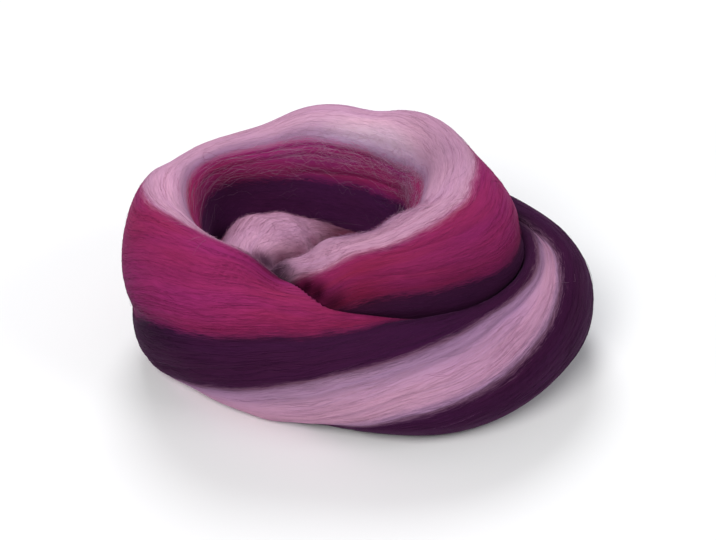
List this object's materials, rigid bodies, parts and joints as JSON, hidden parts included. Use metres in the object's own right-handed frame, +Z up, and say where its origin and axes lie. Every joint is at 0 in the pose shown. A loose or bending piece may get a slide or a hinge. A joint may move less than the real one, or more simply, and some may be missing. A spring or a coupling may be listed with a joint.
{
  "type": "wool roving",
  "caption": "Length of soft combed wool roving in pink, magenta and dark purple, wound in a spiral into a low, hollow nest that lies on a table.",
  "frame": {"origin": "on the table, in the middle of the footprint", "axes": "+Z up, +X along the nest's longer side, -Y towards the front, where the roving crosses over itself"},
  "size_m": [0.1456, 0.1201, 0.0624],
  "materials": {
    "dyed_wool": "soft matt combed wool"
  },
  "bodies": {
    "root": {"roving_nest": "dyed_wool"}
  },
  "joints": []
}
